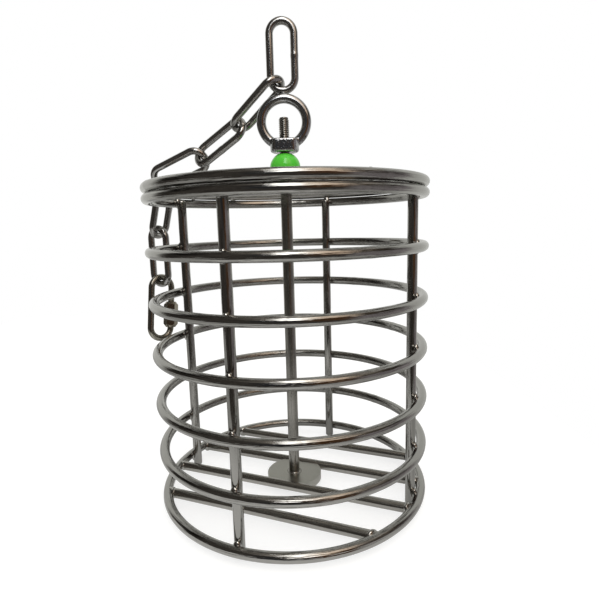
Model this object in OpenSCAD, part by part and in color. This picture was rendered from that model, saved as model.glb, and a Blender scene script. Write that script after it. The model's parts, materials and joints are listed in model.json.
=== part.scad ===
// Hanging feeder basket of welded round wire: hoops on four uprights, a floor of bars, a centre rod,
// a lid that lifts off the rod, a bead, an eye nut and a short chain that ends in a quick link.
// Millimetres, +Z up. The origin is on the floor under the rod, and the floor bars run along X.

/* [Cage] */
// Diameter of the round wire of the cage and the lid
wire_d = 5.4; // [4:0.1:6.5]
// Diameter of every ring, on the wire's centreline
ring_d = 152; // [140:1:170]
// Number of hoops between the base ring and the rim ring
hoop_count = 5; // [3:1:7]
// Height from one ring to the next
hoop_pitch = 28; // [22:0.5:34]
// Clear height under the base ring
foot_h = 3.4; // [2:0.1:8]
// Chamfer on the uprights' lower ends
foot_chamfer = 0.8; // [0.2:0.1:1.5]
// Height of the uprights' upper ends above the rim ring's centreline
upright_over = 1.5; // [0:0.1:2.2]
// Spacing of the floor bars and of the lid bars
bar_pitch = 28.9; // [26:0.1:34]

/* [Plates] */
// Diameter of the round plates in the floor and in the lid
plate_d = 33; // [32:0.5:40]
// Thickness of the floor plate
floor_plate_t = 4.2; // [3:0.1:5]
// Height of the floor plate's top above the floor bars' centreline
floor_plate_rise = 1.5; // [0:0.1:2]
// Thickness of the lid plate
lid_plate_t = 4.5; // [3:0.1:5]
// Height of the lid plate's top above the lid bars' centreline
lid_plate_rise = 2.6; // [1:0.1:3]
// Diameter of the lid plate's hole
lid_bore = 8; // [7.2:0.1:10]

/* [Rod] */
// Diameter of the centre rod
rod_d = 6.4; // [6:0.1:6.8]
// Diameter over the thread at the rod's upper end
stud_d = 5.9; // [5:0.1:5.9]
// Length of the thread
stud_l = 38; // [32:0.5:45]
// Length of thread that stands above the eye nut's hub
stud_over = 11.4; // [4:0.1:14]
// Chamfer on the thread's end
stud_chamfer = 0.7; // [0.3:0.1:1]
// Height and width of the weld round the rod's foot
rod_weld = 1.3; // [0.5:0.1:2]

/* [Bead] */
// Diameter of the bead
bead_d = 17.2; // [14:0.1:20]
// Diameter of the bead's bore
bead_bore = 6.8; // [6.8:0.1:8]

/* [Eye nut] */
// Diameter of the hub
hub_d = 16; // [14:0.1:18]
// Height of the hub
hub_h = 7.5; // [6:0.1:9]
// Width of the flat on the hub's front and back
hub_flat_w = 10.5; // [6:0.1:12]
// Diameter of the eye, on its centreline
eye_d = 25.1; // [24:0.1:28]
// Diameter of the eye's round section
eye_wire = 5.3; // [4:0.1:6]
// Height of the eye's centre above the hub's top
eye_rise = 9; // [8:0.1:10]
// Turn of the eye nut on the rod, in degrees
eye_turn = 21.5; // [0:0.5:90]

/* [Chain] */
// Diameter of the links' wire
link_wire = 4.2; // [3.6:0.1:4.4]
// Width of a link, from centreline to centreline
link_w = 13.5; // [13:0.1:15]
// Length of a link, from centreline to centreline
link_l = 36; // [34:0.5:38]
// Diameter of the quick link's wire
quick_wire = 4; // [3.5:0.1:4.2]
// Width of the quick link, from centreline to centreline
quick_w = 14.2; // [13.5:0.1:16]
// Length of the quick link, from centreline to centreline
quick_l = 40; // [39.5:0.5:44]
// Length of the gap in the quick link's strand
quick_gap = 6; // [5:0.1:7]
// Length of thread below the gap
quick_stub = 1.5; // [1:0.1:3]
// Width of the sleeve across its flats
sleeve_af = 8; // [7:0.1:9]
// Length of the sleeve
sleeve_l = 17; // [15:0.1:17.5]
// Length of the taper at each end of the sleeve
sleeve_taper = 2.2; // [1:0.1:3]
// Diameter of the sleeve's ends
sleeve_end_d = 6; // [5.5:0.1:7]

/* [Fits] */
// Gap between the lid ring and the rim ring
lid_gap = 0.25; // [0.2:0.05:0.4]
// Gap between pieces stacked on the rod, and between the top link and the eye
seat_gap = 0.3; // [0.2:0.05:0.4]
// Gap between the wires of two links where they hook
hook_gap = 0.3; // [0.2:0.05:0.4]
// Running clearance of a thread or a sleeve, all round
run_gap = 0.08; // [0.05:0.01:0.1]
// Depth of an upright's weld in a ring
weld_sink = 0.25; // [0.1:0.05:0.3]
// Gap round an end or an edge that is shaped to the wire it meets
cope_gap = 0.02; // [0.01:0.01:0.05]

/* [Chain pose] */
// How far behind the eye's top the top link stands, as an angle round the eye's wire
top_back = 25; // [0:1:40]
// Where the second link hooks on the top link's bend
top_hook = -50; // [-60:1:-30]
// Plan direction in which the chain runs to the lid's edge
drape_heading = 158; // [140:1:180]
// Bend of the chain at the third link
drape_bend = 10; // [5:1:20]
// Height above the lid ring's centreline of the hook past the lid's edge
edge_rise = 5; // [4:0.1:8]
// Where the fifth link hooks on the fourth link's bend
edge_hook = -55; // [-60:1:-30]
// Roll of the second link about its length
roll_2 = 8; // [-20:1:20]
// Roll of the third link about its length
roll_3 = -60; // [-75:1:-45]
// Roll of the fourth link about its length
roll_4 = 52; // [40:1:65]
// Clear space between the hanging links and the hoops
tail_gap = 3.5; // [0.5:0.1:6]
// Turn of the sixth link from facing the rod edge-on
tail_turn = -10; // [-20:1:20]
// Plan direction in which the quick link leans
quick_heading = -105; // [-120:1:-90]
// Dip of the quick link below level
quick_dip = 80; // [70:1:90]
// Roll of the quick link about its length
quick_roll = -60; // [-80:1:-40]

/* [Hidden] */

$fn = 48;
ring_fn = 120;
// One overrun serves every cut.
overrun = 1;

wire_r = wire_d / 2;
ring_r = ring_d / 2;
base_z = foot_h + wire_r;
rim_z = base_z + (hoop_count + 1) * hoop_pitch;
lid_z = rim_z + wire_d + lid_gap;
upright_r = ring_r - wire_d + weld_sink;
upright_h = rim_z + upright_over;
plate_slot = bar_pitch - wire_r;

floor_top = base_z + floor_plate_rise;
lid_top = lid_z + lid_plate_rise;
bead_half = sqrt(pow(bead_d / 2, 2) - pow(bead_bore / 2, 2));
bead_z = lid_top + seat_gap + bead_half;
hub_z = bead_z + bead_half + seat_gap;
rod_end = hub_z + hub_h + stud_over;
eye_r = eye_d / 2;
eye_z = hub_z + hub_h + eye_rise;
hub_flat_y = sqrt(pow(hub_d / 2, 2) - pow(hub_flat_w / 2, 2));

// A link's frame is [hook, axis, side]. The hook is the centre of the wire that the link hangs on,
// the axis runs from there to the link's other end, and the side lies across the link in its plane.
function heading_dip(heading, dip) = [cos(dip) * cos(heading), cos(dip) * sin(heading), -sin(dip)];
function level(heading) = [-sin(heading), cos(heading), 0];
function raised(heading, dip) = [sin(dip) * cos(heading), sin(dip) * sin(heading), cos(dip)];
function rolled(heading, dip, roll) = cos(roll) * level(heading) + sin(roll) * raised(heading, dip);
function plan_length(p) = norm([p.x, p.y]);

link_r = link_w / 2;
quick_r = quick_w / 2;
link_hook = link_wire + hook_gap;
quick_hook = (link_wire + quick_wire) / 2 + hook_gap;
link_reach = link_l - link_hook;

// The top link stands on end against the back of the eye's top.
top_seat = (eye_wire + link_wire) / 2 + seat_gap;
top_foot = [0, top_seat * sin(top_back), eye_z + eye_r + top_seat * cos(top_back)];
top_frame = [top_foot + [0, 0, link_reach], [0, 0, -1], [1, 0, 0]];
hook_2 = top_foot + link_r * [sin(top_hook), 0, 1 - cos(top_hook)];

// The next three links are drawn taut from there to the hook past the lid's edge.
edge_along = link_reach - link_r + link_r * cos(edge_hook);
edge_across = link_r * sin(edge_hook);
edge_reach = norm([edge_along, edge_across]);
straight_reach = link_reach + edge_reach;
drape_reach = sqrt(pow(link_reach, 2) + pow(straight_reach, 2)
    + 2 * link_reach * straight_reach * cos(drape_bend));
drape_dip = asin((hook_2.z - lid_z - edge_rise) / drape_reach);
dip_2 = drape_dip + asin(straight_reach * sin(drape_bend) / drape_reach);
dip_3 = dip_2 - drape_bend;
hook_3 = hook_2 + link_reach * heading_dip(drape_heading, dip_2);
hook_4 = hook_3 + link_reach * heading_dip(drape_heading, dip_3);
hook_5 = hook_4 + edge_reach * heading_dip(drape_heading, dip_3);
edge_line = heading_dip(drape_heading, dip_3);
edge_side = rolled(drape_heading, dip_3, roll_4);

// The last links hang outside the hoops.
tail_heading = atan2(hook_5.y, hook_5.x);
tail_r = ring_r + wire_r + tail_gap + link_wire / 2 + link_r * cos(tail_turn);
tail_lean = asin((tail_r - plan_length(hook_5)) / link_reach);
hook_6 = hook_5 + link_reach * heading_dip(tail_heading, 90 - tail_lean);
hook_7 = hook_6 - [0, 0, link_reach];

link_frames = [
    top_frame,
    [hook_2, heading_dip(drape_heading, dip_2), rolled(drape_heading, dip_2, roll_2)],
    [hook_3, edge_line, rolled(drape_heading, dip_3, roll_3)],
    [
        hook_4,
        (edge_along * edge_line - edge_across * edge_side) / edge_reach,
        (edge_across * edge_line + edge_along * edge_side) / edge_reach
    ],
    [hook_5, heading_dip(tail_heading, 90 - tail_lean), level(tail_heading)],
    [hook_6, [0, 0, -1], -level(tail_heading + tail_turn + 90)]
];
quick_frame = [
    hook_7,
    heading_dip(quick_heading, quick_dip),
    rolled(quick_heading, quick_dip, quick_roll)
];
quick_straight = quick_l - quick_w;

module wire_ring(z, d = wire_d)
    translate([0, 0, z])
        rotate_extrude($fn = ring_fn)
            translate([ring_r, 0])
                circle(d = d);

module steel_ring(z) color("silver") wire_ring(z);

module upright(turn) color("silver")
    rotate([0, 0, turn])
        translate([upright_r, 0, 0]) {
            cylinder(d1 = wire_d - 2 * foot_chamfer, d2 = wire_d, h = foot_chamfer);
            translate([0, 0, foot_chamfer])
                cylinder(d = wire_d, h = upright_h - foot_chamfer);
        }

// The plain wire of one bar, up to the ring's centreline.
module bar_wire(i, z, d = wire_d) {
    y = (i - 2.5) * bar_pitch;
    half = sqrt(pow(ring_r, 2) - pow(y, 2));
    translate([-half, y, z])
        rotate([0, 90, 0])
            cylinder(d = d, h = 2 * half);
}

// A bar's ends are coped to the ring that they are welded to.
module cross_bar(i, z) color("silver")
    difference() {
        bar_wire(i, z);
        wire_ring(z, wire_d + 2 * cope_gap);
    }

// A round plate let in between the two middle bars.
module let_in_plate(top, t, z)
    difference() {
        intersection() {
            translate([0, 0, top - t])
                cylinder(d = plate_d, h = t, $fn = ring_fn);
            translate([-plate_d, -plate_slot / 2, top - t - overrun])
                cube([2 * plate_d, plate_slot, t + 2 * overrun]);
        }
        bar_wire(2, z, wire_d + 2 * cope_gap);
        bar_wire(3, z, wire_d + 2 * cope_gap);
    }

module floor_plate() color("darkgray") let_in_plate(floor_top, floor_plate_t, base_z);

module lid_plate() color("darkgray")
    difference() {
        let_in_plate(lid_top, lid_plate_t, lid_z);
        translate([0, 0, lid_top - lid_plate_t - overrun])
            cylinder(d = lid_bore, h = lid_plate_t + 2 * overrun);
    }

module centre_rod() color("silver") {
    shank_top = rod_end - stud_l;
    translate([0, 0, floor_top]) {
        cylinder(d1 = rod_d + 2 * rod_weld, d2 = rod_d, h = rod_weld);
        cylinder(d = rod_d, h = shank_top - floor_top);
    }
    translate([0, 0, shank_top])
        cylinder(d = stud_d, h = stud_l - stud_chamfer);
    translate([0, 0, rod_end - stud_chamfer])
        cylinder(d1 = stud_d, d2 = stud_d - 2 * stud_chamfer, h = stud_chamfer);
}

module spacer_bead() color("limegreen")
    translate([0, 0, bead_z])
        difference() {
            sphere(d = bead_d);
            translate([0, 0, -bead_d / 2])
                cylinder(d = bead_bore, h = bead_d);
        }

module eye_nut() color("gray")
    rotate([0, 0, eye_turn])
        difference() {
            union() {
                translate([0, 0, eye_z])
                    rotate([90, 0, 0])
                        rotate_extrude($fn = ring_fn)
                            translate([eye_r, 0])
                                circle(d = eye_wire);
                translate([0, 0, hub_z])
                    intersection() {
                        cylinder(d = hub_d, h = hub_h);
                        translate([-hub_d / 2, -hub_flat_y, 0])
                            cube([hub_d, 2 * hub_flat_y, hub_h]);
                    }
            }
            translate([0, 0, hub_z - overrun])
                cylinder(d = stud_d + 2 * run_gap, h = hub_h + 2 * overrun);
        }

// Everything inside is drawn in a link's own frame: X along its axis, Y along its side.
module in_frame(f) {
    normal = cross(f[1], f[2]);
    rotate([0, 0, eye_turn])
        multmatrix([
            [f[1].x, f[2].x, normal.x, f[0].x],
            [f[1].y, f[2].y, normal.y, f[0].y],
            [f[1].z, f[2].z, normal.z, f[0].z]
        ])
            children();
}

// One closed oval of wire, hooked at the origin.
module oval(l, w, d, hook) {
    straight = l - w;
    translate([l / 2 - hook, 0, 0])
        for (end = [-1, 1]) {
            translate([end * straight / 2, 0, 0])
                rotate([0, 0, -90 * end])
                    rotate_extrude(angle = 180)
                        translate([w / 2, 0])
                            circle(d = d);
            translate([-straight / 2, end * w / 2, 0])
                rotate([0, 90, 0])
                    cylinder(d = d, h = straight);
        }
}

module chain_link(i) color("gray")
    in_frame(link_frames[i - 1])
        oval(link_l, link_w, link_wire, link_hook);

// Drawn along the quick link's threaded strand, from its far end back towards the hook.
module on_strand()
    translate([quick_l / 2 - quick_hook + quick_straight / 2, quick_r, 0])
        rotate([0, -90, 0])
            children();

module quick_link() color("gray")
    in_frame(quick_frame)
        difference() {
            oval(quick_l, quick_w, quick_wire, quick_hook);
            on_strand()
                translate([0, 0, quick_stub])
                    cylinder(d = 2 * quick_wire, h = quick_gap);
        }

// The sleeve's round blank, with a taper at each end; its flats are cut on it.
module sleeve_blank() {
    corner_r = sleeve_af / 2 / cos(30);
    rotate_extrude()
        polygon([
            [0, 0],
            [sleeve_end_d / 2, 0],
            [corner_r, sleeve_taper],
            [corner_r, sleeve_l - sleeve_taper],
            [sleeve_end_d / 2, sleeve_l],
            [0, sleeve_l]
        ]);
}

module quick_link_sleeve() color("gray")
    in_frame(quick_frame)
        on_strand()
            difference() {
                intersection() {
                    sleeve_blank();
                    cylinder(d = sleeve_af / cos(30), h = sleeve_l, $fn = 6);
                }
                translate([0, 0, -overrun])
                    cylinder(d = quick_wire + 2 * run_gap, h = sleeve_l + 2 * overrun);
            }

steel_ring(base_z);  // base_ring
for (i = [1 : hoop_count])
    steel_ring(base_z + i * hoop_pitch);
steel_ring(rim_z);  // rim_ring
upright(0);  // upright_right
upright(90);  // upright_back
upright(180);  // upright_left
upright(270);  // upright_front
for (i = [1 : 4])
    cross_bar(i, base_z);
floor_plate();
centre_rod();
steel_ring(lid_z);  // lid_ring
for (i = [1 : 4])
    cross_bar(i, lid_z);
lid_plate();
spacer_bead();
eye_nut();
for (i = [1 : 6])
    chain_link(i);
quick_link();
quick_link_sleeve();
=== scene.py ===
import json
from math import asin, cos, pi, radians, sin, sqrt, tan, tau

import bpy
import numpy as np
from mathutils import Matrix, Vector


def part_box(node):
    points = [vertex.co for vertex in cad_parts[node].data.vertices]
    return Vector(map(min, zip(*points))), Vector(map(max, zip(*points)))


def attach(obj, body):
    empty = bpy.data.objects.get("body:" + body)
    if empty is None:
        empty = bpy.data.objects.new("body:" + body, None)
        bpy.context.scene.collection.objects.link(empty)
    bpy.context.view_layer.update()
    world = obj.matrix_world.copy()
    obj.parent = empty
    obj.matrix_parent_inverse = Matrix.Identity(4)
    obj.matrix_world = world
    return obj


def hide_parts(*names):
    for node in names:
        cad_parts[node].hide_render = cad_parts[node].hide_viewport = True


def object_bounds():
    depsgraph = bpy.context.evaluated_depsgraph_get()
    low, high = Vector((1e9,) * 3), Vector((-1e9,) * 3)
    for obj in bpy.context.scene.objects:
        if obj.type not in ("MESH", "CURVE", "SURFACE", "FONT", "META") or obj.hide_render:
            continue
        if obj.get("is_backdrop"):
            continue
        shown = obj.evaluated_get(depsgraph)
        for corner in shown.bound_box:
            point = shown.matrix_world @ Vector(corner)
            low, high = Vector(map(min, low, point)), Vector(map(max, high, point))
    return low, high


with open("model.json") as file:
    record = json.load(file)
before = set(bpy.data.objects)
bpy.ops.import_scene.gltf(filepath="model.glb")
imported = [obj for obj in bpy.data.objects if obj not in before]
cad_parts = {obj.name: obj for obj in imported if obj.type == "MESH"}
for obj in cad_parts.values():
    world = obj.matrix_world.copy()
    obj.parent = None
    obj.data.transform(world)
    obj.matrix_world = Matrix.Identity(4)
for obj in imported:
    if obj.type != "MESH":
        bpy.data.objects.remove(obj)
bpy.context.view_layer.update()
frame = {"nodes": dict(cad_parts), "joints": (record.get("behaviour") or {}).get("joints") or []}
nodes = frame["nodes"]
scene = bpy.context.scene

# Camera, room and floor.
# The basket stands on a pale sheet before a pale backdrop, in a dim room. A window in the roof lights it, and
# the polished wire mirrors all of these.
mm = 0.001
white = "#ffffff"


def linear(code):
    """An sRGB hex colour as linear red, green, blue and alpha."""
    parts = [int(code[i:i + 2], 16) / 255 for i in (1, 3, 5)]
    return tuple(c / 12.92 if c <= 0.04045 else ((c + 0.055) / 1.055) ** 2.4 for c in parts) + (1.0,)


def add_node(tree, kind, inputs=None, **settings):
    """Adds a node with its settings. An input that is a socket, or a node for its first output, is linked."""
    made = tree.nodes.new(kind)
    for key, value in settings.items():
        setattr(made, key, value)
    for key, value in (inputs or {}).items():
        if isinstance(value, bpy.types.Node):
            value = value.outputs[0]
        if isinstance(value, bpy.types.NodeSocket):
            tree.links.new(value, made.inputs[key])
        else:
            made.inputs[key].default_value = value
    return made


camera_place = Vector((106.7, -252.3, 159.0)) * mm
camera_heading = radians(21.5)
camera_pitch, camera_yaw, camera_roll = radians(8.9737), radians(-0.1668), radians(-1.5371)
camera_lens = 28.35

camera = bpy.data.objects.new("camera", bpy.data.cameras.new("camera"))
camera.data.sensor_width = 36.0
camera.data.lens = camera_lens
camera.data.clip_start = 0.01
forward = Matrix.Rotation(camera_heading, 3, "Z") @ Vector(
    (sin(camera_yaw) * cos(camera_pitch), cos(camera_yaw) * cos(camera_pitch), -sin(camera_pitch)))
look = forward.to_track_quat("-Z", "Y").to_matrix()
look = look @ Matrix.Rotation(camera_roll, 3, "Z")
camera.matrix_world = Matrix.Translation(camera_place) @ look.to_4x4()
scene.collection.objects.link(camera)
scene.camera = camera
scene.view_settings.view_transform = "Standard"

# The level way from the basket to the camera, which is the front here, and the way to the right of it.
to_camera = Vector((camera_place.x, camera_place.y, 0)).normalized()
to_right = Vector((-to_camera.y, to_camera.x, 0))

world = bpy.data.worlds.new("studio")
world.use_nodes = True
scene.world = world
room = world.node_tree
room.nodes.clear()
ray = add_node(room, "ShaderNodeTexCoord").outputs["Generated"]
# How far a ray looks to the right, to the front and upwards, from -1 to 1.
rightwards, frontwards, skywards = [
    add_node(room, "ShaderNodeVectorMath", {0: ray, 1: way}, operation="DOT_PRODUCT").outputs["Value"]
    for way in (to_right, to_camera, (0, 0, 1))]
compass = add_node(room, "ShaderNodeMath", {0: rightwards, 1: frontwards}, operation="ARCTAN2")
height = add_node(room, "ShaderNodeMath", {0: skywards}, operation="ARCSINE")


def between(angle, low, high, soft):
    """One inside a span of degrees and nothing outside it, with both edges softened."""
    rise = add_node(room, "ShaderNodeMapRange", {
        "Value": angle, "From Min": radians(low - soft), "From Max": radians(low + soft)},
        interpolation_type="SMOOTHSTEP")
    fall = add_node(room, "ShaderNodeMapRange", {
        "Value": angle, "From Min": radians(high + soft), "From Max": radians(high - soft)},
        interpolation_type="SMOOTHSTEP")
    return add_node(room, "ShaderNodeMath", {0: rise, 1: fall}, operation="MULTIPLY")


# What stands round the basket, each over what comes before it: its span by the compass, in degrees to the
# right of the front, its span upwards from level, how soft its edges are, and its colour.
surroundings = [
    ("dim_room", -220, 220, -120, 120, 1, "#4a4642"),
    ("dark_corner", -112, -84, 10, 50, 12, "#1c1a18"),
    ("dark_gap", -30, 12, 2, 36, 7, "#35373b"),
    ("grey_wall", 50, 114, -120, 22, 7, "#8a8486"),
    ("doorway", 58, 98, 16, 42, 7, "#4a4238"),
    ("brown_cupboard", 14, 47, -8, 30, 6, "#5e4028"),
    ("sill", -10, 58, 34, 60, 6, "#a8927f"),
    ("ceiling", -220, 220, 67, 120, 9, "#938e87"),
    ("ceiling_right", 56, 220, 46, 120, 9, "#a89f96"),
    ("ceiling_by_window", -34, 66, 55, 120, 13, "#c6bcb2"),
    ("backdrop_right", 110, 220, -120, 78, 7, "#d8d8d4"),
    ("backdrop_left", -220, -117, -120, 46, 7, "#e0e0dc"),
]
room_colour = linear("#000000")
for name, left, right, low, high, soft, code in surroundings:
    across = between(compass, left, right, soft)
    covered = add_node(room, "ShaderNodeMath", {0: across, 1: between(height, low, high, soft)},
                       operation="MULTIPLY", label=name)
    room_colour = add_node(room, "ShaderNodeMix", {
        "Factor": covered, 6: room_colour, 7: linear(code)}, data_type="RGBA").outputs[2]

# Shelves, frames and folds stand in level bands across the room. They fade out before the plain backdrop.
bands_a_radian = (1.6, 8, 1)
dark_band, bright_band = 0.25, 1.9
fade_from, fade_to = radians(104), radians(118)
bands = add_node(room, "ShaderNodeCombineXYZ", {"X": compass, "Y": height})
bands = add_node(room, "ShaderNodeMapping", {"Vector": bands, "Scale": bands_a_radian})
bands = add_node(room, "ShaderNodeTexNoise", {"Vector": bands, "Scale": 1.0, "Detail": 4.0, "Roughness": 0.7})
bands = add_node(room, "ShaderNodeMapRange", {
    "Value": bands, "From Min": 0.38, "From Max": 0.62, "To Min": dark_band, "To Max": bright_band})
to_the_side = add_node(room, "ShaderNodeMath", {0: compass}, operation="ABSOLUTE")
bands = add_node(room, "ShaderNodeMapRange", {
    "Value": to_the_side, "From Min": fade_from, "From Max": fade_to, "To Min": bands, "To Max": 1.0})
room_colour = add_node(room, "ShaderNodeVectorMath", {0: room_colour, "Scale": bands}, operation="SCALE")

# The steel sees the room. Matt surfaces are lit without it, more from above than from below. The eye sees a
# white backdrop.
rays = add_node(room, "ShaderNodeLightPath").outputs
upper = add_node(room, "ShaderNodeMapRange", {"Value": skywards, "From Min": -0.4, "From Max": 0.9})
even_light = add_node(room, "ShaderNodeMix", {
    "Factor": upper, 6: linear("#8c8c8c"), 7: linear(white)}, data_type="RGBA").outputs[2]
seen = add_node(room, "ShaderNodeMix", {
    "Factor": rays["Is Diffuse Ray"], 6: room_colour, 7: even_light}, data_type="RGBA").outputs[2]
seen = add_node(room, "ShaderNodeMix", {
    "Factor": rays["Is Camera Ray"], 6: seen, 7: linear(white)}, data_type="RGBA").outputs[2]
backdrop = add_node(room, "ShaderNodeBackground", {"Color": seen, "Strength": 1.0})
add_node(room, "ShaderNodeOutputWorld", {"Surface": backdrop})

# The roof window, the strip of wall beside it and the wooden wall that it lights are tall panels that lean
# over the basket. Each has its turn to the right, half its width, and how high its foot and its head stand,
# all in degrees as seen from the middle of the basket's front. Then come its radiance and its light's linear
# red, green and blue.
panels = [
    ("roof_window", 0, 12, 39, 75, 4.2, (1, 1, 1)),
    ("window_side", 18, 7, 38, 80, 1.5, (1, 0.93, 0.85)),
    ("lit_wooden_wall", 40, 17, 35, 76, 1.0, (1, 0.8, 0.63)),
]
panel_reach, panel_lean = 0.6, 0.7
seen_from_out, seen_from_high = 0.07, 0.09
panel_width_share = 0.9
for name, turn, half, low, high, radiance, colour in panels:
    way = to_camera * cos(radians(turn)) + to_right * sin(radians(turn))
    right = way.cross(Vector((0, 0, -1)))
    foot = way * panel_reach
    foot += Vector((0, 0, seen_from_high + (panel_reach - seen_from_out) * tan(radians(low))))
    head = way * panel_reach * panel_lean
    head += Vector((0, 0, seen_from_high + (panel_reach * panel_lean - seen_from_out) * tan(radians(high))))
    lamp = bpy.data.lights.new(name, "AREA")
    lamp.shape = "RECTANGLE"
    lamp.size = 2 * panel_reach * tan(radians(half)) * panel_width_share
    lamp.size_y = (head - foot).length
    lamp.energy = radiance * pi * lamp.size * lamp.size_y
    lamp.color = colour
    panel = bpy.data.objects.new(name, lamp)
    upwards = (head - foot).normalized()
    axes = Matrix((right, upwards, right.cross(upwards))).transposed()
    panel.matrix_world = Matrix.Translation((foot + head) / 2) @ axes.to_4x4()
    scene.collection.objects.link(panel)

sheet_front, sheet_back, sheet_left, sheet_right = 0.195, -0.6, -0.5, 0.21
sheet_corners = [(sheet_front, sheet_left), (sheet_front, sheet_right),
                 (sheet_back, sheet_right), (sheet_back, sheet_left)]
floor_mesh = bpy.data.meshes.new("floor")
floor_mesh.from_pydata([to_camera * a + to_right * b for a, b in sheet_corners], [], [(0, 1, 2, 3)])
floor = bpy.data.objects.new("floor", floor_mesh)
scene.collection.objects.link(floor)

# The sheet is white to the eye. In the steel it is grey, with a painted pool of the window's light in front
# of the basket, more to the left. This painted glow comes on top of the light that the sheet catches.
white_glow = 0.72
painted_pool_place, painted_pool_near, painted_pool_far = to_camera * 0.07 - to_right * 0.04, 0.06, 0.17
painted_pool_glow, grey_glow = 0.48, 0.08
paper = bpy.data.materials.new("matt_white_paper_sweep")
paper.use_nodes = True
tree = paper.node_tree
tree.nodes.clear()
rays = add_node(tree, "ShaderNodeLightPath").outputs
eye = add_node(tree, "ShaderNodeMath", {0: rays["Is Camera Ray"], 1: rays["Is Transmission Ray"]},
               operation="MAXIMUM")
eye = add_node(tree, "ShaderNodeMath", {0: eye, 1: white_glow}, operation="MULTIPLY")
place = add_node(tree, "ShaderNodeTexCoord").outputs["Object"]
# Painted light: the steel sees a painted pool of the window's light on the sheet, brightest near its middle
# and fading to grey farther out.
painted_pool = add_node(tree, "ShaderNodeVectorMath", {0: place, 1: painted_pool_place}, operation="DISTANCE").outputs["Value"]
painted_pool = add_node(tree, "ShaderNodeMapRange", {
    "Value": painted_pool, "From Min": painted_pool_near, "From Max": painted_pool_far, "To Min": painted_pool_glow, "To Max": grey_glow},
    interpolation_type="SMOOTHSTEP")
painted_pool_in_steel = add_node(tree, "ShaderNodeMath", {0: rays["Is Glossy Ray"], 1: painted_pool}, operation="MULTIPLY")
strength = add_node(tree, "ShaderNodeMath", {0: eye, 1: painted_pool_in_steel}, operation="ADD")
matt = add_node(tree, "ShaderNodeBsdfDiffuse", {"Color": linear("#a8a8a6")})
glow = add_node(tree, "ShaderNodeEmission", {"Color": linear(white), "Strength": strength})
sheet_skin = add_node(tree, "ShaderNodeAddShader", {0: matt, 1: glow})
add_node(tree, "ShaderNodeOutputMaterial", {"Surface": sheet_skin})
floor_mesh.materials.append(paper)
floor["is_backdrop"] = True

# The rings.
# Eight equal rings of 5.4 mm stainless steel wire, rolled, butt-welded at one seam and polished together.
# Seven are stacked on the uprights, and the eighth is the edge of the lid.
ring_r = 76.0
wire_r = 2.7
base_z, hoop_pitch, hoop_count = 6.1, 28.0, 5
rim_z = base_z + hoop_pitch * (hoop_count + 1)
lid_z = 179.75
seam_reach, seam_swell = 1.6, 0.12


def new_tree(name, sizes):
    """A Geometry Nodes tree, and its inputs: places, named sizes in metres or plain numbers, and a finish."""
    made = bpy.data.node_groups.new(name, "GeometryNodeTree")
    made.interface.new_socket("Geometry", in_out="OUTPUT", socket_type="NodeSocketGeometry")
    made.interface.new_socket("places", in_out="INPUT", socket_type="NodeSocketGeometry")
    for size in sizes:
        made.interface.new_socket(size, in_out="INPUT", socket_type="NodeSocketFloat")
    made.interface.new_socket("finish", in_out="INPUT", socket_type="NodeSocketMaterial")
    return made, made.nodes.new("NodeGroupInput").outputs


def close_tree(tree, geometry, finish, smooth=True):
    """Ends a tree as the export needs it: real geometry, with its material set."""
    real = add_node(tree, "GeometryNodeRealizeInstances", {"Geometry": geometry})
    if smooth:
        real = add_node(tree, "GeometryNodeSetShadeSmooth", {0: real})
    painted = add_node(tree, "GeometryNodeSetMaterial", {0: real, "Material": finish})
    add_node(tree, "NodeGroupOutput", {0: painted})


def grown(name, tree, sizes, finish, places=()):
    """The plain mesh that a tree makes with these sizes, at these places if it needs any."""
    carrier = bpy.data.objects.new(name, bpy.data.meshes.new(name))
    carrier.data.from_pydata(list(places), [], [])
    scene.collection.objects.link(carrier)
    modifier = carrier.modifiers.new("grow", "NODES")
    modifier.node_group = tree
    for item in tree.interface.items_tree:
        if item.in_out == "INPUT" and item.name != "places":
            modifier[item.identifier] = finish if item.name == "finish" else float(sizes[item.name])
    view = bpy.context.evaluated_depsgraph_get()
    mesh = bpy.data.meshes.new_from_object(carrier.evaluated_get(view), depsgraph=view)
    carrier.modifiers.remove(modifier)
    carrier.data = mesh
    mesh.name = name
    return carrier


def welded_radius(tree, along, reach, swell, radius, only=None):
    """The wire's radius, with a bulge that falls away along the wire on both sides of its butt weld."""
    bulge = add_node(tree, "ShaderNodeMath", {0: along, 1: reach}, operation="DIVIDE")
    bulge = add_node(tree, "ShaderNodeMath", {0: bulge, 1: 2.0}, operation="POWER")
    bulge = add_node(tree, "ShaderNodeMath", {0: bulge, 1: -1.0}, operation="MULTIPLY")
    bulge = add_node(tree, "ShaderNodeMath", {0: bulge}, operation="EXPONENT")
    if only:
        bulge = add_node(tree, "ShaderNodeMath", {0: bulge, 1: only}, operation="MULTIPLY")
    return add_node(tree, "ShaderNodeMath", {0: bulge, 1: swell, 2: radius}, operation="MULTIPLY_ADD")


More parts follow.
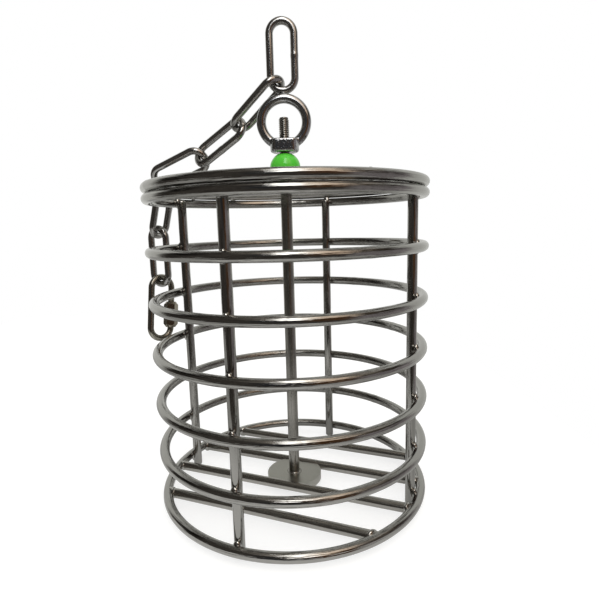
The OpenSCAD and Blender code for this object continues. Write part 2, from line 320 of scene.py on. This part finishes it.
def steel(name, colour, rough, grain, grain_depth, stretch=(1, 1, 1), uneven=0.04, rolled=False,
          cast_below=None):
    """Stainless steel: bare metal whose polish varies a little, with the fine lines that its making left."""
    cloud_size = 12
    pit_size, pit_depth, pitted_edge = 1.5, 0.3, 0.5
    made = bpy.data.materials.new(name)
    made.use_nodes = True
    tree = made.node_tree
    tree.nodes.clear()
    place = add_node(tree, "ShaderNodeTexCoord").outputs["Object"]
    lines = place
    if rolled:
        # The lines follow a ring: x is the way round it, y is the way out.
        spot = add_node(tree, "ShaderNodeSeparateXYZ", {0: place}).outputs
        turn = add_node(tree, "ShaderNodeMath", {0: spot["Y"], 1: spot["X"]}, operation="ARCTAN2")
        turn = add_node(tree, "ShaderNodeMath", {0: turn, 1: ring_r * mm}, operation="MULTIPLY")
        x_squared, y_squared = [
            add_node(tree, "ShaderNodeMath", {0: spot[axis], 1: 2.0}, operation="POWER") for axis in "XY"]
        out = add_node(tree, "ShaderNodeMath", {0: x_squared, 1: y_squared}, operation="ADD")
        out = add_node(tree, "ShaderNodeMath", {0: out}, operation="SQRT")
        lines = add_node(tree, "ShaderNodeCombineXYZ", {0: turn, 1: out, 2: spot["Z"]})
    # The real lines are too fine to show in the render, so they are drawn as coarse as they need to show.
    lines = add_node(tree, "ShaderNodeMapping", {"Vector": lines, "Scale": stretch})
    fine = add_node(tree, "ShaderNodeTexNoise", {"Vector": lines, "Scale": 1 / (grain * mm), "Detail": 3.0})
    # Handling and the polishing wheel leave cloudy patches.
    cloud = add_node(tree, "ShaderNodeTexNoise", {
        "Vector": place, "Scale": 1 / (cloud_size * mm), "Detail": 4.0})
    polish = add_node(tree, "ShaderNodeMath", {0: cloud, 1: uneven * 2, 2: rough - uneven},
                      operation="MULTIPLY_ADD")
    bump = add_node(tree, "ShaderNodeBump", {"Height": fine, "Distance": grain_depth * mm})
    if cast_below:
        # Under this height the mould's pitted skin is left on.
        spot = add_node(tree, "ShaderNodeSeparateXYZ", {0: place}).outputs
        left_on = add_node(tree, "ShaderNodeMapRange", {
            "Value": spot["Z"], "From Min": (cast_below + pitted_edge) * mm, "From Max": cast_below * mm})
        pits = add_node(tree, "ShaderNodeTexNoise", {
            "Vector": place, "Scale": 1 / (pit_size * mm), "Detail": 2.0})
        bump = add_node(tree, "ShaderNodeBump", {
            "Height": pits, "Strength": left_on, "Distance": pit_depth * mm, "Normal": bump})
    tone = add_node(tree, "ShaderNodeMix", {
        "Factor": cloud, 6: linear(colour[0]), 7: linear(colour[1])}, data_type="RGBA").outputs[2]
    skin = add_node(tree, "ShaderNodeBsdfPrincipled", {
        "Base Color": tone, "Metallic": 1.0, "Roughness": polish, "Normal": bump})
    add_node(tree, "ShaderNodeOutputMaterial", {"Surface": skin})
    return made


# Bright polished 304 wire: it mirrors the room, drawn out a little by the fine lines of the draw die.
polished_wire = steel("polished_304_wire", ("#9a9995", "#a7a6a2"), 0.11, 0.9, 0.3, stretch=(0.03, 1, 1),
                      rolled=True)

ring_tree, sizes_in = new_tree("welded_ring", [
    "ring radius", "wire radius", "height", "seam turn", "seam swell"])
circle = add_node(ring_tree, "GeometryNodeCurvePrimitiveCircle", {
    "Resolution": 288, "Radius": sizes_in["ring radius"]})
spot = add_node(ring_tree, "ShaderNodeSeparateXYZ", {
    0: add_node(ring_tree, "GeometryNodeInputPosition")}).outputs
away = add_node(ring_tree, "ShaderNodeMath", {0: spot["Y"], 1: spot["X"]}, operation="ARCTAN2")
away = add_node(ring_tree, "ShaderNodeMath", {0: away, 1: sizes_in["seam turn"]}, operation="SUBTRACT")
away = add_node(ring_tree, "ShaderNodeMath", {0: away, 1: sizes_in["ring radius"]}, operation="MULTIPLY")
thick = welded_radius(ring_tree, away, seam_reach * mm, sizes_in["seam swell"], sizes_in["wire radius"])
section = add_node(ring_tree, "GeometryNodeCurvePrimitiveCircle", {"Resolution": 32, "Radius": 1.0})
swept = add_node(ring_tree, "GeometryNodeCurveToMesh", {
    "Curve": circle, "Profile Curve": section, "Scale": thick})
lifted = add_node(ring_tree, "ShaderNodeCombineXYZ", {"Z": sizes_in["height"]})
placed = add_node(ring_tree, "GeometryNodeTransform", {"Geometry": swept, "Translation": lifted})
close_tree(ring_tree, placed, sizes_in["finish"])

# Each ring has its height, its body, and where its seam is, in degrees from the right.
hoop_seams = (62, 118, 49, 75, -38)
rings = [("base_ring", base_z, "basket", 140)]
rings += [(f"hoop_{i}", base_z + hoop_pitch * i, "basket", seam) for i, seam in enumerate(hoop_seams, 1)]
rings += [("rim_ring", rim_z, "basket", 105), ("lid_ring", lid_z, "lid", -129)]
for node, ring_z, body, seam in rings:
    ring = grown(f"{node}_wire", ring_tree, {
        "ring radius": ring_r * mm, "wire radius": wire_r * mm, "height": ring_z * mm,
        "seam turn": radians(seam), "seam swell": seam_swell * mm}, polished_wire)
    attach(ring, body)
    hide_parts(node)

# The uprights.
# Four lengths of the same wire stand inside the rings. Their ends are ground round, and the lower ends are
# the basket's feet.
upright_r = 70.85
upright_h = 175.6
end_round = 1.2


def lathed(name, outline, finish, around=48, closed=False):
    """A turned solid. Its outline is (radius, height) in mm, upwards outside; a closed one has a bore."""
    points, faces, rows = [], [], []
    for r, z in outline:
        if r == 0:
            rows.append([len(points)] * around)
            points.append((0, 0, z * mm))
        else:
            rows.append(list(range(len(points), len(points) + around)))
            turns = [tau * k / around for k in range(around)]
            points += [(r * cos(turn) * mm, r * sin(turn) * mm, z * mm) for turn in turns]
    pairs = list(zip(rows, rows[1:])) + ([(rows[-1], rows[0])] if closed else [])
    for under, over in pairs:
        for k in range(around):
            n = (k + 1) % around
            face = [under[k], under[n], over[n], over[k]]
            faces.append([c for i, c in enumerate(face) if c not in face[:i]])
    mesh = bpy.data.meshes.new(name)
    mesh.from_pydata(points, [], faces)
    mesh.polygons.foreach_set("use_smooth", [True] * len(faces))
    mesh.materials.append(finish)
    turned = bpy.data.objects.new(name, mesh)
    scene.collection.objects.link(turned)
    return turned


def corner(r, z, size, start, end, steps=6):
    """Points of a rounded corner about (r, z), from one angle to another in degrees."""
    turns = [radians(start + (end - start) * k / steps) for k in range(steps + 1)]
    return [(r + size * cos(turn), z + size * sin(turn)) for turn in turns]


# The same wire, rubbed along its length, so that fine streaks run up it.
upright_wire = steel("polished_304_upright", ("#969591", "#a3a29e"), 0.12, 0.9, 0.2, stretch=(1, 1, 0.05))
upright_outline = [(0, 0)] + corner(wire_r - end_round, end_round, end_round, -90, 0)
upright_outline += [(wire_r, z) for z in range(8, 170, 12)]
upright_outline += corner(wire_r - end_round, upright_h - end_round, end_round, 0, 90) + [(0, upright_h)]
for side, turn in (("right", 0), ("back", 90), ("left", 180), ("front", 270)):
    upright = lathed(f"upright_{side}_wire", upright_outline, upright_wire)
    out = Matrix.Translation((upright_r * mm, 0, 0))
    upright.data.transform(Matrix.Rotation(radians(turn), 4, "Z") @ out)
    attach(upright, "basket")
    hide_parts(f"upright_{side}")

# The floor bars and the lid bars.
# Four lengths of the wire run across the base ring and four across the lid ring, shaped to the ring's inside.
bar_pitch = 28.9
# The same wire again, rubbed along its length and left duller.
bar_wire = steel("polished_304_bar", ("#a09e99", "#adaba5"), 0.17, 0.6, 0.04, stretch=(0.05, 1, 1))
for i in range(1, 5):
    for node in (f"floor_bar_{i}", f"lid_bar_{i}"):
        nodes[node].data.materials.clear()
        nodes[node].data.materials.append(bar_wire)

# The welds.
# Resistance and TIG tacks hold every crossing and every bar's end. They are small melted fillets, brightened
# by the same polish.
weld_r, bar_weld_r = 73.25, 72.95
# A weld that has been melted bright mirrors sharply.
bright_weld = steel("polished_weld", ("#adaca8", "#b9b8b4"), 0.06, 0.8, 0.008, uneven=0.02)

weld_tree, sizes_in = new_tree("melted_tacks", ["inwards", "along", "upwards", "unevenness", "lumps"])
blob = add_node(weld_tree, "GeometryNodeMeshIcoSphere", {"Radius": 1.0, "Subdivisions": 4})
spot = add_node(weld_tree, "ShaderNodeSeparateXYZ", {
    0: add_node(weld_tree, "GeometryNodeInputPosition")}).outputs
facing_out = add_node(weld_tree, "ShaderNodeMath", {0: spot["Y"], 1: spot["X"]}, operation="ARCTAN2")
facing_out = add_node(weld_tree, "ShaderNodeCombineXYZ", {"Z": facing_out})
more = add_node(weld_tree, "FunctionNodeRandomValue", {
    2: 0.85, 3: 1.15, "Seed": 11}, data_type="FLOAT").outputs[1]
size = add_node(weld_tree, "ShaderNodeCombineXYZ", {
    "X": sizes_in["inwards"], "Y": sizes_in["along"], "Z": sizes_in["upwards"]})
size = add_node(weld_tree, "ShaderNodeVectorMath", {0: size, "Scale": more}, operation="SCALE")
tacks = add_node(weld_tree, "GeometryNodeInstanceOnPoints", {
    "Points": sizes_in["places"], "Instance": blob, "Rotation": facing_out, "Scale": size})
tacks = add_node(weld_tree, "GeometryNodeRealizeInstances", {"Geometry": tacks})
lumps_a_metre = add_node(weld_tree, "ShaderNodeMath", {0: 1.0, 1: sizes_in["lumps"]}, operation="DIVIDE")
lumpy = add_node(weld_tree, "ShaderNodeTexNoise", {"Scale": lumps_a_metre, "Detail": 1.0})
lumpy = add_node(weld_tree, "ShaderNodeMath", {0: lumpy, 1: 0.5}, operation="SUBTRACT")
lumpy = add_node(weld_tree, "ShaderNodeMath", {0: lumpy, 1: sizes_in["unevenness"]}, operation="MULTIPLY")
push = add_node(weld_tree, "ShaderNodeVectorMath", {
    0: add_node(weld_tree, "GeometryNodeInputNormal"), "Scale": lumpy}, operation="SCALE")
tacks = add_node(weld_tree, "GeometryNodeSetPosition", {"Geometry": tacks, "Offset": push})
close_tree(weld_tree, tacks, sizes_in["finish"])

crossings = []
for k in range(4):
    x, y = weld_r * cos(tau * k / 4) * mm, weld_r * sin(tau * k / 4) * mm
    crossings += [(x, y, (base_z + hoop_pitch * i) * mm) for i in range(hoop_count + 2)]
crossing_welds = grown("crossing_welds", weld_tree, {
    "inwards": 1.7 * mm, "along": 2.3 * mm, "upwards": 3.7 * mm, "unevenness": 0.35 * mm,
    "lumps": 1.8 * mm}, bright_weld, crossings)
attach(crossing_welds, "basket")

bar_lines = [(k - 1.5) * bar_pitch for k in range(4)]
for name, bar_z, body in (("floor_bar_welds", base_z, "basket"), ("lid_bar_welds", lid_z, "lid")):
    ends = [
        (side * sqrt(bar_weld_r ** 2 - y ** 2) * mm, y * mm, bar_z * mm)
        for side in (-1, 1) for y in bar_lines]
    bar_welds = grown(name, weld_tree, {
        "inwards": 1.8 * mm, "along": 3.2 * mm, "upwards": 3.05 * mm, "unevenness": 0.5 * mm,
        "lumps": 1.2 * mm}, bright_weld, ends)
    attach(bar_welds, body)

# The two plates.
# Turned discs of stainless plate, let in between the middle bars. They were faced and left satin, so they
# mirror only light and shade.
satin_plate = steel("satin_turned_plate", ("#a09f98", "#adaca4"), 0.32, 0.35, 0.02, uneven=0.08)
for node in ("floor_plate", "lid_plate"):
    nodes[node].data.materials.clear()
    nodes[node].data.materials.append(satin_plate)

# The centre rod.
# A drawn rod, welded on the floor plate. Its upper end is turned down and has an M6 thread of 1 mm pitch.
rod_r, stud_r, stud_l = 3.2, 2.95, 38.0
floor_top, rod_end = 7.6, 217.649
foot_weld = 1.3
thread_pitch, thread_depth = 1.0, 0.5
thread_above, thread_short = 1.2, 2.2
core_r = stud_r - thread_depth
core_above, core_short = 0.05, 0.5
shank_top = rod_end - stud_l
shank_round, tip_round = 0.3, 0.4
# Drawn and not polished: duller than the wire, with the die's lines along it.
drawn_rod = steel("drawn_304_rod", ("#93918c", "#a09e98"), 0.25, 0.4, 0.03, stretch=(1, 1, 0.05))

foot_turns = [radians(90 * k / 8) for k in range(9)]
rod_outline = [(0, floor_top)]
rod_outline += [(rod_r + foot_weld * (1 - sin(t)), floor_top + foot_weld * (1 - cos(t))) for t in foot_turns]
rod_outline += [(rod_r, z) for z in range(12, 176, 12)]
rod_outline += corner(rod_r - shank_round, shank_top - shank_round, shank_round, 0, 90, 3)
rod_outline += [(core_r, shank_top + core_above), (core_r, rod_end - core_short)]
rod_outline += corner(core_r - tip_round, rod_end - tip_round, tip_round, 0, 90, 4) + [(0, rod_end)]
rod = lathed("centre_rod_turned", rod_outline, drawn_rod)
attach(rod, "basket")
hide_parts("centre_rod")

thread_tree, sizes_in = new_tree("screw_thread", ["crest radius", "depth", "pitch", "length", "start"])
middle = add_node(thread_tree, "ShaderNodeMath", {
    0: sizes_in["crest radius"], 1: sizes_in["depth"]}, operation="SUBTRACT")
turns = add_node(thread_tree, "ShaderNodeMath", {
    0: sizes_in["length"], 1: sizes_in["pitch"]}, operation="DIVIDE")
helix = add_node(thread_tree, "GeometryNodeCurveSpiral", {
    "Resolution": 28, "Rotations": turns, "Start Radius": middle, "End Radius": middle,
    "Height": sizes_in["length"], "Reverse": True})
helix = add_node(thread_tree, "GeometryNodeSetCurveNormal", {"Curve": helix}, mode="Z_UP")
ridge = add_node(thread_tree, "GeometryNodeCurvePrimitiveCircle", {
    "Resolution": 4, "Radius": sizes_in["depth"]})
thread = add_node(thread_tree, "GeometryNodeCurveToMesh", {
    "Curve": helix, "Profile Curve": ridge, "Fill Caps": True})
lifted = add_node(thread_tree, "ShaderNodeCombineXYZ", {"Z": sizes_in["start"]})
thread = add_node(thread_tree, "GeometryNodeTransform", {"Geometry": thread, "Translation": lifted})
close_tree(thread_tree, thread, sizes_in["finish"], smooth=False)

# A rolled thread's flanks are burnished by the rollers, so they are brighter than the rod.
rolled_thread = steel("rolled_bright_thread", ("#b3b1ab", "#c0beb7"), 0.13, 0.3, 0.005)
rod_thread = grown("rod_thread", thread_tree, {
    "crest radius": stud_r * mm, "depth": thread_depth * mm, "pitch": thread_pitch * mm,
    "length": (stud_l - thread_short) * mm, "start": (shank_top + thread_above) * mm}, rolled_thread)
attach(rod_thread, "basket")

# The bead.
# A round polypropylene bead from an injection mould, bright green and glossy, with a rounded bore and the
# faint raised line where the mould's halves met.
bead_r, bore_r, bead_z = 8.6, 3.4, 190.549
bore_round = 0.6
mouth_out, mouth_in, mouth_deep = 0.12, 0.3, 0.8
parting_line = 0.035
bead_half = sqrt(bead_r ** 2 - bore_r ** 2)
bead_lean = asin((bead_half - bore_round * 0.55) / bead_r)
bead_rows = 48
bead_outline = []
for k in range(-bead_rows, bead_rows + 1):
    lean = bead_lean * k / bead_rows
    r = bead_r + parting_line * max(0.0, 1 - abs(k) / 2) - parting_line
    bead_outline.append((r * cos(lean), bead_z + r * sin(lean)))
bead_outline += [(bore_r + mouth_out, bead_z + bead_half - mouth_in)]
bead_outline += [(bore_r, bead_z + bead_half - mouth_deep), (bore_r, bead_z - bead_half + mouth_deep)]
bead_outline += [(bore_r + mouth_out, bead_z - bead_half + mouth_in)]

# Glossy coloured polypropylene: the colour swirls faintly, light sinks a little into it, and it is lightly
# scuffed.
green = bpy.data.materials.new("glossy_green_polypropylene")
green.use_nodes = True
tree = green.node_tree
tree.nodes.clear()
place = add_node(tree, "ShaderNodeTexCoord").outputs["Object"]
swirl = add_node(tree, "ShaderNodeTexNoise", {"Vector": place, "Scale": 1 / (6 * mm), "Detail": 2.0})
tone = add_node(tree, "ShaderNodeMix", {
    "Factor": swirl, 6: linear("#50c23a"), 7: linear("#62d248")}, data_type="RGBA").outputs[2]
scuffs = add_node(tree, "ShaderNodeTexNoise", {"Vector": place, "Scale": 1 / (0.5 * mm), "Detail": 3.0})
scuffs = add_node(tree, "ShaderNodeBump", {"Height": scuffs, "Strength": 0.05, "Distance": 0.05 * mm})
skin = add_node(tree, "ShaderNodeBsdfPrincipled", {
    "Base Color": tone, "Roughness": 0.11, "IOR": 1.49, "Subsurface Weight": 0.08,
    "Subsurface Scale": 1.5 * mm, "Normal": scuffs})
add_node(tree, "ShaderNodeOutputMaterial", {"Surface": skin})
bead = lathed("green_bead", bead_outline, green, around=96, closed=True)
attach(bead, "bead")
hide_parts("spacer_bead")

# The eye nut.
# One investment casting in stainless steel, tumbled smooth: a ring that runs into a round hub with a flat on
# its front and back.
eye_r, eye_wire_r, eye_z = 12.55, 2.65, 215.249
hub_r, hub_h, hub_z, hub_flat_w, hub_bore_r = 8.0, 7.5, 198.749, 10.5, 3.03
eye_turn = radians(21.5)
hub_top = hub_z + hub_h
hub_flat_y = sqrt(hub_r ** 2 - (hub_flat_w / 2) ** 2)
# Tumbled castings are bright but not sharp. On the hub, below its top edge, the mould's skin is left.
cast_steel = steel("tumbled_cast_stainless", ("#aaabac", "#babbbc"), 0.17, 0.9, 0.012, uneven=0.05,
                   cast_below=hub_top - 0.6)


def merged_skin(name, parts, voxel, rounds, finish):
    """Melts closed meshes into one skin with soft inner corners, as a casting has them."""
    mesh = bpy.data.meshes.new(name)
    points, faces = [], []
    for part_points, part_faces in parts:
        faces += [[i + len(points) for i in face] for face in part_faces]
        points += part_points
    mesh.from_pydata([Vector(p) * mm for p in points], [], faces)
    cast = bpy.data.objects.new(name, mesh)
    scene.collection.objects.link(cast)
    melt = cast.modifiers.new("melt", "REMESH")
    melt.mode = "VOXEL"
    melt.voxel_size = voxel * mm
    melt.use_smooth_shade = True
    soften = cast.modifiers.new("soften", "SMOOTH")
    soften.factor = 0.5
    soften.iterations = rounds
    view = bpy.context.evaluated_depsgraph_get()
    made = bpy.data.meshes.new_from_object(cast.evaluated_get(view), depsgraph=view)
    cast.modifiers.clear()
    cast.data = made
    made.name = name
    made.materials.clear()
    made.materials.append(finish)
    return cast


eye_around, wire_around = 96, 32
ring_points, ring_faces = [], []
for k in range(eye_around):
    for j in range(wire_around):
        a, b = tau * k / eye_around, tau * j / wire_around
        r = eye_r + eye_wire_r * cos(b)
        ring_points.append((r * cos(a), eye_wire_r * sin(b), eye_z + r * sin(a)))
        this, following = k * wire_around, (k + 1) % eye_around * wire_around
        m = (j + 1) % wire_around
        ring_faces.append((this + j, this + m, following + m, following + j))

# The hub's outline: two arcs and two flats with rounded corners between them, as a place and a way out.
hub_corner, hub_edge, hub_chamfer, hub_around = 1.5, 1.1, 0.7, 96
corner_turn = asin((hub_flat_y - hub_corner) / (hub_r - hub_corner))
hub_outline = []
for k in range(hub_around):
    t = tau * k / hub_around
    lean = asin(min(1.0, max(-1.0, sin(t))))
    held = max(-corner_turn, min(corner_turn, lean))
    side = 1 if cos(t) >= 0 else -1
    x, y = side * (hub_r - hub_corner) * cos(held), (hub_r - hub_corner) * sin(held)
    hub_outline.append((x, y, cos(t), sin(t)))
# Its rows upwards, as how far in and how high: a rounded lower edge, the side, and a chamfer.
hub_rows = [(hub_edge, hub_z)]
for degrees_up in (60, 30, 0):
    t = radians(degrees_up)
    hub_rows.append((hub_edge * (1 - cos(t)), hub_z + hub_edge * (1 - sin(t))))
hub_rows += [(0.0, hub_top - hub_chamfer), (hub_chamfer, hub_top)]
# The lower edge is turned to a cone, which the two flats cut in arcs.
cone_slope, cone_below = 0.2, hub_z + 2
hub_points = []
for inset, row_z in hub_rows:
    for x, y, out_x, out_y in hub_outline:
        x, y = x + (hub_corner - inset) * out_x, y + (hub_corner - inset) * out_y
        cone = max(0.0, sqrt(x * x + y * y) - hub_flat_y) * cone_slope if row_z < cone_below else 0.0
        hub_points.append((x, y, row_z + cone))
hub_faces = []
for row in range(0, (len(hub_rows) - 1) * hub_around, hub_around):
    for k in range(hub_around):
        n = (k + 1) % hub_around
        hub_faces.append((row + k, row + n, row + hub_around + n, row + hub_around + k))
hub_faces += [tuple(reversed(range(hub_around))), tuple(range(len(hub_points) - hub_around, len(hub_points)))]
cast_voxel, cast_rounds = 0.24, 22
eye_nut = merged_skin("cast_eye_nut", [(ring_points, ring_faces), (hub_points, hub_faces)], cast_voxel,
                      cast_rounds, cast_steel)

# The hub is drilled after casting.
drill_low, drill_high = hub_z - 2, hub_top + 1.5
drill = lathed("drill", [(0, drill_low), (hub_bore_r, drill_low), (hub_bore_r, drill_high), (0, drill_high)],
               cast_steel, around=64)
bored = eye_nut.modifiers.new("bored", "BOOLEAN")
bored.object = drill
bored.operation = "DIFFERENCE"
bored.solver = "EXACT"
view = bpy.context.evaluated_depsgraph_get()
bored_mesh = bpy.data.meshes.new_from_object(eye_nut.evaluated_get(view), depsgraph=view)
eye_nut.modifiers.clear()
eye_nut.data = bored_mesh
bpy.data.objects.remove(drill)
bored_mesh.transform(Matrix.Rotation(eye_turn, 4, "Z"))
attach(eye_nut, "eye_nut")
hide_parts("eye_nut")

# The chain.
# Six equal oval links, bent from 4.2 mm stainless wire, with the butt weld in the middle of one strand, and
# tumbled until they shine.
link_wire_r, link_w, link_l = 2.1, 13.5, 36.0
weld_reach, weld_swell = 1.3, 0.12
# Tumbling leaves many small soft dents, so the links mirror less sharply than the rings.
tumbled_chain = steel("tumbled_chain_steel", ("#a09f9d", "#b1b0ad"), 0.18, 0.9, 0.025, uneven=0.06)

link_tree, sizes_in = new_tree("welded_link", ["length", "width", "wire radius", "weld swell"])
oval = add_node(link_tree, "GeometryNodeCurvePrimitiveQuadrilateral", {
    "Width": sizes_in["length"], "Height": sizes_in["width"]})
# Just under half the width, so that the two corners at an end don't meet.
bend = add_node(link_tree, "ShaderNodeMath", {0: sizes_in["width"], 1: 0.4999}, operation="MULTIPLY")
oval = add_node(link_tree, "GeometryNodeFilletCurve", {
    "Curve": oval, "Radius": bend, "Count": 24}, mode="POLY")
oval = add_node(link_tree, "GeometryNodeResampleCurve", {"Curve": oval, "Count": 192})
spot = add_node(link_tree, "ShaderNodeSeparateXYZ", {
    0: add_node(link_tree, "GeometryNodeInputPosition")}).outputs
welded_strand = add_node(link_tree, "ShaderNodeMath", {0: spot["Y"], 1: 0.0}, operation="GREATER_THAN")
thick = welded_radius(link_tree, spot["X"], weld_reach * mm, sizes_in["weld swell"], sizes_in["wire radius"],
                      only=welded_strand)
section = add_node(link_tree, "GeometryNodeCurvePrimitiveCircle", {"Resolution": 28, "Radius": 1.0})
swept = add_node(link_tree, "GeometryNodeCurveToMesh", {
    "Curve": oval, "Profile Curve": section, "Scale": thick})
close_tree(link_tree, swept, sizes_in["finish"])


def lie_of(node, hook, weld_towards):
    """Where a link lies: its centre, its length's way away from the hook, and its width's way to its weld."""
    mesh = nodes[node].data
    mesh.calc_loop_triangles()
    corners = np.empty(len(mesh.vertices) * 3)
    mesh.vertices.foreach_get("co", corners)
    corners = corners.reshape(-1, 3)
    thirds = np.array([t.vertices[:] for t in mesh.loop_triangles])
    a, b, c = corners[thirds[:, 0]], corners[thirds[:, 1]], corners[thirds[:, 2]]
    area = np.linalg.norm(np.cross(b - a, c - a), axis=1)
    middle = (a + b + c) / 3
    centre = (middle * area[:, None]).sum(0) / area.sum()
    spread = ((middle - centre).T * area) @ (middle - centre)
    _, ways = np.linalg.eigh(spread)
    length_way, width_way = Vector(ways[:, 2]), Vector(ways[:, 1])
    centre = Vector(centre)
    if (centre - hook).dot(length_way) < 0:
        length_way = -length_way
    if width_way.dot(weld_towards) < 0:
        width_way = -width_way
    return centre, length_way, width_way


def lay(thing, centre, length_way, width_way):
    """Moves a link's mesh from flat on the origin to where it lies."""
    across = length_way.cross(width_way)
    turn = Matrix((length_way, width_way, across)).transposed().to_4x4()
    thing.data.transform(Matrix.Translation(centre) @ turn)


swings = {joint["child"]: joint for joint in frame["joints"]}
for i in range(1, 7):
    node = f"chain_link_{i}"
    centre, length_way, width_way = lie_of(node, Vector(swings[f"link_{i}"]["pos_m"]), to_right)
    link = grown(f"link_{i}_welded", link_tree, {
        "length": link_l * mm, "width": link_w * mm, "wire radius": link_wire_r * mm,
        "weld swell": weld_swell * mm}, tumbled_chain)
    lay(link, centre, length_way, width_way)
    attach(link, f"link_{i}")
    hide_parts(node)

# The quick link.
# A thinner oval of 4 mm wire with a gap in one strand. Both ends at the gap are threaded, and a six-sided
# sleeve screws over the gap to shut it.
quick_wire_r, quick_w, quick_l, quick_gap, quick_stub, quick_hook = 2.0, 14.2, 40.0, 6.0, 1.5, 4.4
# Plainer steel than the chain's, slightly warm in tone, and the sleeve is turned and left duller.
warm_steel = steel("polished_quick_link_steel", ("#959289", "#a5a297"), 0.2, 0.6, 0.03, uneven=0.06)
sleeve_steel = steel("turned_sleeve_steel", ("#8f897c", "#a0998b"), 0.24, 0.5, 0.03, uneven=0.06)
straight, strand = (quick_l - quick_w) / 2, quick_w / 2
gap_from = straight - quick_stub
gap_to = gap_from - quick_gap
bend_step = 6
quick_path = [(gap_from, strand)]
for end in (1, -1):
    # Along one strand to the bend, round it, and on to where the other strand starts.
    turns = [radians(a) for a in range(bend_step, 180, bend_step)]
    quick_path += [(end * straight, end * strand)]
    quick_path += [(end * (straight + strand * sin(turn)), end * strand * cos(turn)) for turn in turns]
    quick_path += [(end * straight, -end * strand)]
quick_path += [(gap_to, strand)]

quick_points, quick_faces, sides = [], [], 28
for k, (x, y) in enumerate(quick_path):
    x0, y0 = quick_path[max(k - 1, 0)]
    x1, y1 = quick_path[min(k + 1, len(quick_path) - 1)]
    along = Vector((x1 - x0, y1 - y0, 0)).normalized()
    out = Vector((along.y, -along.x, 0))
    for j in range(sides):
        a = tau * j / sides
        around_wire = out * cos(a) - Vector((0, 0, sin(a)))
        quick_points.append(Vector((x, y, 0)) * mm + around_wire * quick_wire_r * mm)
for k in range(len(quick_path) - 1):
    for j in range(sides):
        n = (j + 1) % sides
        quick_faces.append((k * sides + j, k * sides + n, (k + 1) * sides + n, (k + 1) * sides + j))
last = (len(quick_path) - 1) * sides
quick_faces += [tuple(reversed(range(sides))), tuple(range(last, last + sides))]
quick_mesh = bpy.data.meshes.new("quick_link_body")
quick_mesh.from_pydata(quick_points, [], quick_faces)
quick_mesh.polygons.foreach_set("use_smooth", [len(face) == 4 for face in quick_faces])
quick_mesh.materials.append(warm_steel)
quick_body = bpy.data.objects.new("quick_link_body", quick_mesh)
scene.collection.objects.link(quick_body)

# It hangs from its hook along the sleeve's thread, with the gap under the sleeve.
quick_hook_place = Vector(swings["quick_link"]["pos_m"])
length_way = -Vector(swings["sleeve"]["axis"]).normalized()
sleeve_low, sleeve_high = (Vector(c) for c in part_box("quick_link_sleeve"))
width_way = (sleeve_low + sleeve_high) / 2 - quick_hook_place
width_way = (width_way - length_way * width_way.dot(length_way)).normalized()
lay(quick_body, quick_hook_place + length_way * (quick_l / 2 - quick_hook) * mm, length_way, width_way)
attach(quick_body, "quick_link")
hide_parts("quick_link")
nodes["quick_link_sleeve"].data.materials.clear()
nodes["quick_link_sleeve"].data.materials.append(sleeve_steel)

low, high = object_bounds()
